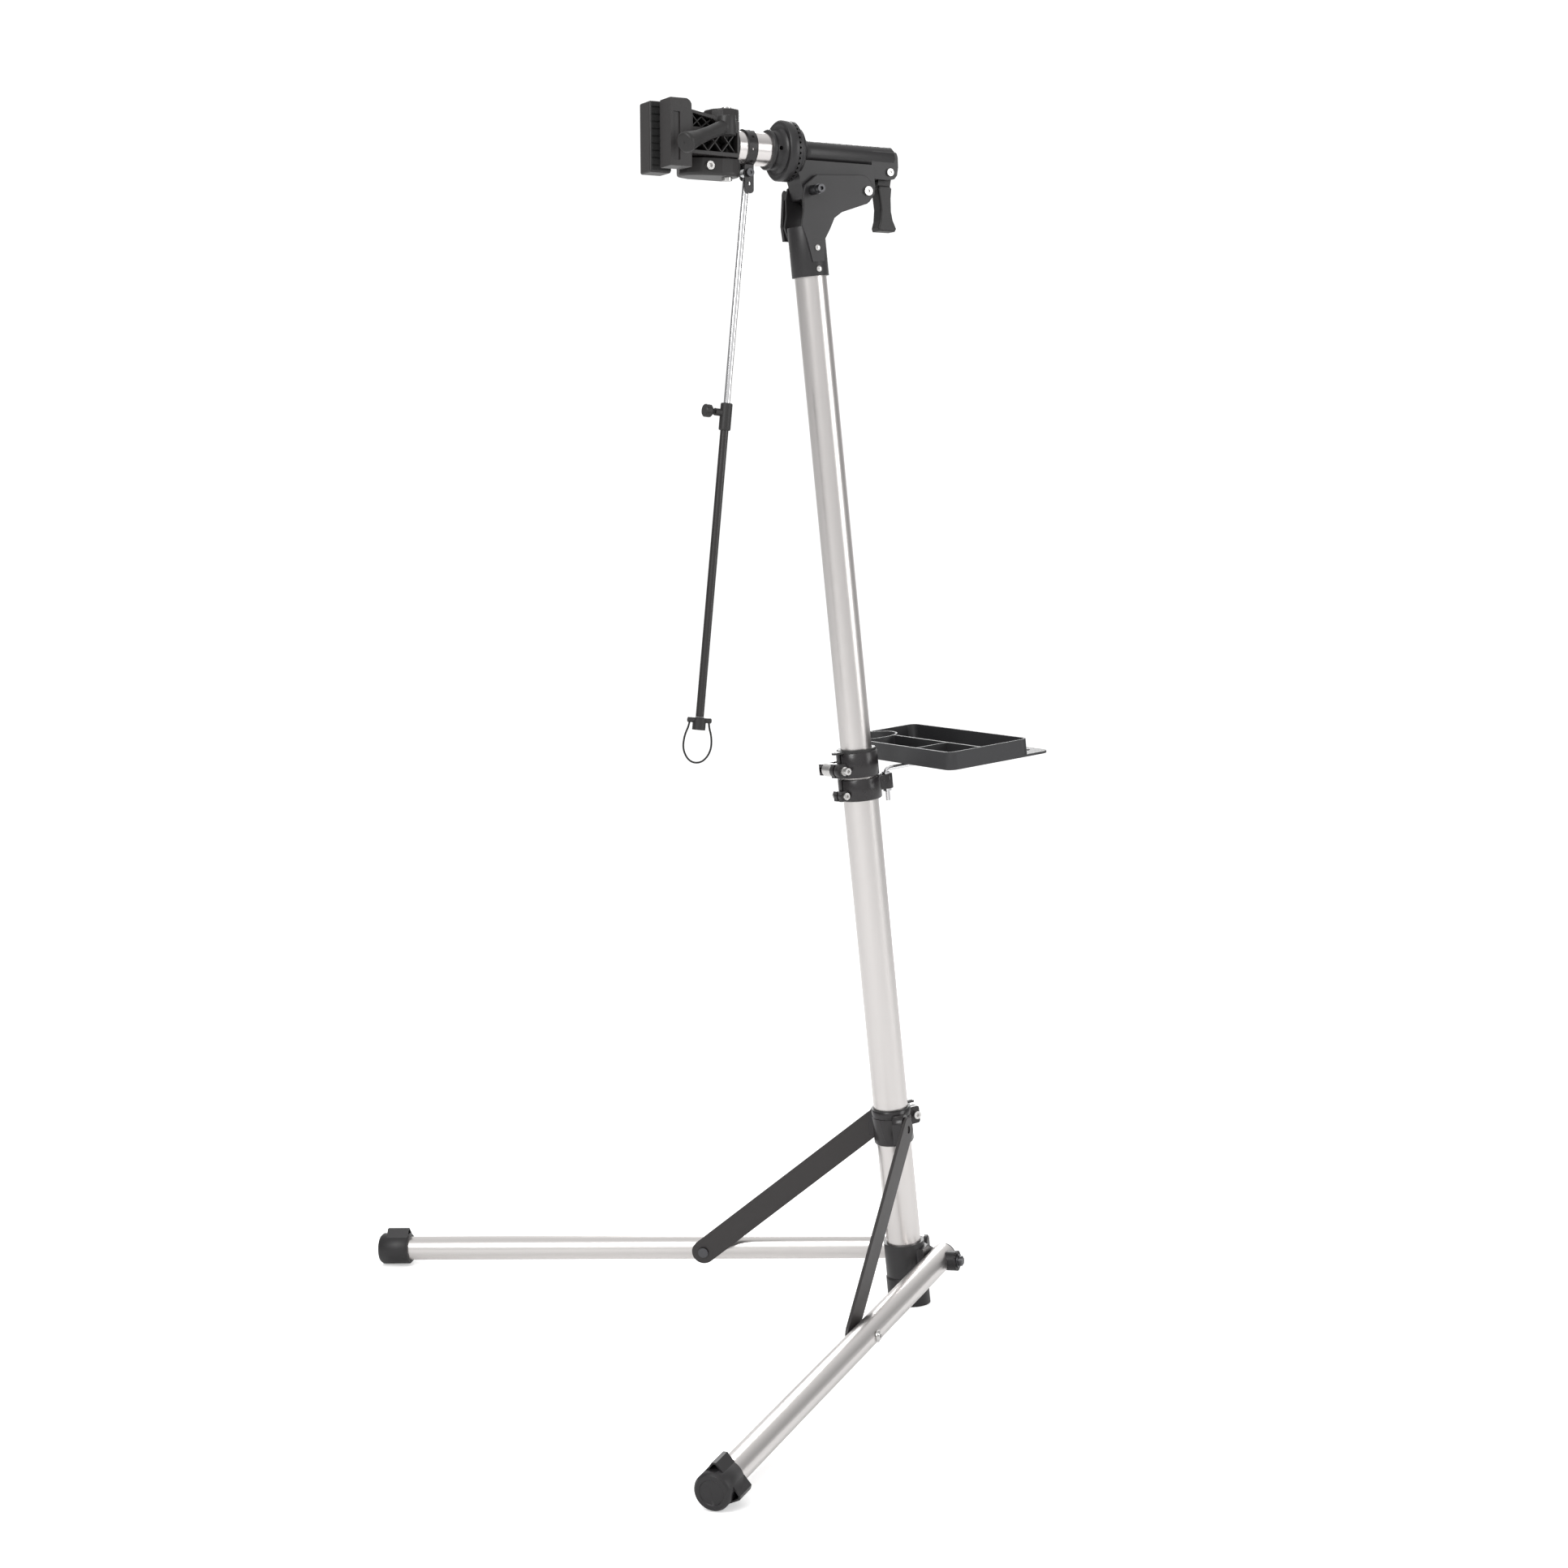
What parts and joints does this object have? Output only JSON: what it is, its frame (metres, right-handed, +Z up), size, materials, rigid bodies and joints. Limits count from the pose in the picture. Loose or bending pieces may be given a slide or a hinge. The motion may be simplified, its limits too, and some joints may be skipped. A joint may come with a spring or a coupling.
{
  "type": "bike repair stand",
  "caption": "Folding bicycle repair stand with a leaning telescopic mast, two strutted legs, a tool tray, a tilting rotary clamp and a handlebar holder.",
  "frame": {"origin": "centre of the mast foot on the floor", "axes": "+X forward, the way the mast leans and the clamp points; +Y towards the left leg; +Z up"},
  "size_m": [0.6995, 1.0392, 1.526],
  "materials": {
    "mast_foot": "satin",
    "lower_tube": "brushed anodised",
    "leg_bracket": "satin black powder coat",
    "left_leg_bolt": "polished",
    "right_leg_bolt": "polished",
    "height_collar": "satin black powder coat",
    "height_bush": "satin",
    "height_skewer": "polished",
    "tray_collar": "satin black powder coat",
    "tray_collar_bolt": "polished",
    "height_lever": "satin black powder coat",
    "left_leg_tube": "brushed anodised",
    "left_leg_cap": "satin",
    "left_leg_plug": "satin",
    "left_leg_saddle": "satin",
    "left_strut_bolt": "polished",
    "right_leg_tube": "brushed anodised",
    "right_leg_cap": "satin",
    "right_leg_plug": "satin",
    "right_leg_saddle": "satin",
    "right_strut_bolt": "polished",
    "left_strut": "satin black powder coat",
    "right_strut": "satin black powder coat",
    "slide_collar": "satin black powder coat",
    "slide_bush": "satin",
    "slide_skewer": "polished",
    "slide_lever": "satin black powder coat",
    "tool_tray": "satin black powder coat",
    "tray_rod": "polished",
    "upper_tube": "brushed anodised",
    "mast_glide": "satin",
    "head_bracket": "satin black powder coat",
    "bracket_rivets": "polished",
    "tilt_bolt": "polished",
    "tilt_skewer": "polished",
    "tilt_lever": "satin black powder coat",
    "head_housing": "satin black powder coat",
    "rear_index_ring": "satin black powder coat",
    "lock_shaft": "machined",
    "lock_bolt": "polished",
    "lock_lever": "satin black powder coat",
    "front_index_ring": "satin black powder coat",
    "spindle_tube": "brushed anodised",
    "fixed_jaw": "satin",
    "jaw_pin": "polished",
    "jaw_screws": "polished",
    "far_jaw_pad": "matte",
    "tension_rod": "polished",
    "near_jaw": "satin",
    "near_jaw_pad": "matte",
    "jaw_lever": "satin",
    "jaw_knob": "satin",
    "rod_strap": "satin black powder coat",
    "strap_bolt": "polished",
    "holder_rod": "polished",
    "holder_tube": "satin black powder coat",
    "holder_sleeve": "satin",
    "holder_end": "satin",
    "holder_cord": "matte",
    "holder_knob": "satin"
  },
  "bodies": {
    "mast_base": {"mast_foot": "mast_foot", "lower_tube": "lower_tube", "leg_bracket": "leg_bracket", "left_leg_bolt": "left_leg_bolt", "right_leg_bolt": "right_leg_bolt", "height_collar": "height_collar", "height_bush": "height_bush", "height_skewer": "height_skewer", "tray_collar": "tray_collar", "tray_collar_bolt": "tray_collar_bolt"},
    "height_cam": {"height_lever": "height_lever"},
    "left_leg": {"left_leg_tube": "left_leg_tube", "left_leg_cap": "left_leg_cap", "left_leg_plug": "left_leg_plug", "left_leg_saddle": "left_leg_saddle", "left_strut_bolt": "left_strut_bolt"},
    "right_leg": {"right_leg_tube": "right_leg_tube", "right_leg_cap": "right_leg_cap", "right_leg_plug": "right_leg_plug", "right_leg_saddle": "right_leg_saddle", "right_strut_bolt": "right_strut_bolt"},
    "left_strut_arm": {"left_strut": "left_strut"},
    "right_strut_arm": {"right_strut": "right_strut"},
    "slide_ring": {"slide_collar": "slide_collar", "slide_bush": "slide_bush", "slide_skewer": "slide_skewer"},
    "slide_cam": {"slide_lever": "slide_lever"},
    "tray_arm": {"tool_tray": "tool_tray", "tray_rod": "tray_rod"},
    "upper_mast": {"upper_tube": "upper_tube", "mast_glide": "mast_glide", "head_bracket": "head_bracket", "bracket_rivets": "bracket_rivets", "tilt_bolt": "tilt_bolt", "tilt_skewer": "tilt_skewer"},
    "tilt_cam": {"tilt_lever": "tilt_lever"},
    "head": {"head_housing": "head_housing", "rear_index_ring": "rear_index_ring", "lock_shaft": "lock_shaft", "lock_bolt": "lock_bolt"},
    "lock_cam": {"lock_lever": "lock_lever"},
    "spindle": {"front_index_ring": "front_index_ring", "spindle_tube": "spindle_tube", "fixed_jaw": "fixed_jaw", "jaw_pin": "jaw_pin", "jaw_screws": "jaw_screws", "far_jaw_pad": "far_jaw_pad", "tension_rod": "tension_rod"},
    "near_jaw_arm": {"near_jaw": "near_jaw", "near_jaw_pad": "near_jaw_pad"},
    "jaw_cam": {"jaw_lever": "jaw_lever"},
    "jaw_adjuster": {"jaw_knob": "jaw_knob"},
    "strap_ring": {"rod_strap": "rod_strap", "strap_bolt": "strap_bolt"},
    "holder_upper": {"holder_rod": "holder_rod"},
    "holder_lower": {"holder_tube": "holder_tube", "holder_sleeve": "holder_sleeve", "holder_end": "holder_end", "holder_cord": "holder_cord"},
    "holder_screw": {"holder_knob": "holder_knob"}
  },
  "joints": [
    {"name": "mast_height", "type": "slide", "parent": "mast_base", "child": "upper_mast", "axis": [0.1094, 0, 0.994], "range_m": [-0.5, 0]},
    {"name": "height_cam_turn", "type": "hinge", "parent": "mast_base", "child": "height_cam", "pos_m": [0.11354, -0.02777, 0.70984], "axis": [0.1094, 0, 0.994], "range_deg": [0, 90]},
    {"name": "left_leg_fold", "type": "hinge", "parent": "mast_base", "child": "left_leg", "pos_m": [-0.02279, 0.03603, 0.06156], "axis": [0.6282, -0.7749, -0.0691], "range_deg": [0, 86]},
    {"name": "left_strut_fold", "type": "hinge", "parent": "left_leg", "child": "left_strut_arm", "pos_m": [0.19294, 0.21229, 0.0463], "axis": [0.6282, -0.7749, -0.0691], "range_deg": [-143.67, 0]},
    {"name": "right_leg_fold", "type": "hinge", "parent": "mast_base", "child": "right_leg", "pos_m": [-0.02279, -0.03603, 0.06156], "axis": [-0.6282, -0.7749, 0.0691], "range_deg": [0, 86]},
    {"name": "right_strut_fold", "type": "hinge", "parent": "right_leg", "child": "right_strut_arm", "pos_m": [0.19294, -0.21229, 0.0463], "axis": [-0.6282, -0.7749, 0.0691], "range_deg": [-143.67, 0]},
    {"name": "collar_slide", "type": "slide", "parent": "mast_base", "child": "slide_ring", "axis": [0.1094, 0, 0.994], "range_m": [0, 0.4057]},
    {"name": "slide_cam_turn", "type": "hinge", "parent": "slide_ring", "child": "slide_cam", "pos_m": [-0.00545, -0.013, 0.25211], "axis": [-0.994, 0, 0.1094], "range_deg": [0, 90]},
    {"name": "tray_swing", "type": "hinge", "parent": "mast_base", "child": "tray_arm", "pos_m": [0.03681, 0, 0.70017], "axis": [0.1094, 0, 0.994], "range_deg": [-28, 28]},
    {"name": "head_tilt", "type": "hinge", "parent": "upper_mast", "child": "head", "pos_m": [0.0781, 0, 1.4326], "axis": [0, -1, 0], "range_deg": [0, 60]},
    {"name": "tilt_cam_turn", "type": "hinge", "parent": "upper_mast", "child": "tilt_cam", "pos_m": [0.1565, -0.0362, 1.429], "axis": [-1, 0, 0], "range_deg": [0, 90]},
    {"name": "lock_cam_turn", "type": "hinge", "parent": "head", "child": "lock_cam", "pos_m": [0.04, 0, 1.459], "axis": [0, 1, 0], "range_deg": [0, 80]},
    {"name": "spindle_turn", "type": "hinge", "parent": "head", "child": "spindle", "pos_m": [0.2, 0, 1.477], "axis": [1, 0, 0], "continuous": true},
    {"name": "jaw_cam_turn", "type": "hinge", "parent": "spindle", "child": "jaw_cam", "pos_m": [0.288, 0.051, 1.493], "axis": [0, 0, 1], "range_deg": [0, 100]},
    {"name": "near_jaw_open", "type": "hinge", "parent": "spindle", "child": "near_jaw_arm", "pos_m": [0.269, 0.0135, 1.48], "axis": [0, 0, 1], "range_deg": [0, 6.2]},
    {"name": "jaw_adjust", "type": "hinge", "parent": "spindle", "child": "jaw_adjuster", "pos_m": [0.288, -0.045, 1.493], "axis": [0, 1, 0], "continuous": true},
    {"name": "strap_turn", "type": "hinge", "parent": "spindle", "child": "strap_ring", "pos_m": [0.236, 0, 1.477], "axis": [1, 0, 0], "range_deg": [-60, 60]},
    {"name": "holder_swing", "type": "hinge", "parent": "strap_ring", "child": "holder_upper", "pos_m": [0.236, 0.002, 1.447], "axis": [0, 1, 0], "range_deg": [-25, 8]},
    {"name": "holder_extend", "type": "slide", "parent": "holder_upper", "child": "holder_lower", "axis": [-0.1042, 0, 0.9946], "range_m": [-0.1, 0.2]},
    {"name": "holder_screw_turn", "type": "hinge", "parent": "holder_lower", "child": "holder_screw", "pos_m": [0.26632, 0.002, 1.15758], "axis": [0.9946, 0, 0.1042], "continuous": true}
  ],
  "couplings": [
    {"joint": "right_leg_fold", "follows": "left_leg_fold", "ratio": 1},
    {"joint": "left_strut_fold", "follows": "left_leg_fold", "ratio": -1.67},
    {"joint": "right_strut_fold", "follows": "left_leg_fold", "ratio": -1.67},
    {"joint": "collar_slide", "follows": "left_leg_fold", "m_per_rad": 0.27022},
    {"joint": "near_jaw_open", "follows": "jaw_cam_turn", "ratio": 0.06}
  ]
}
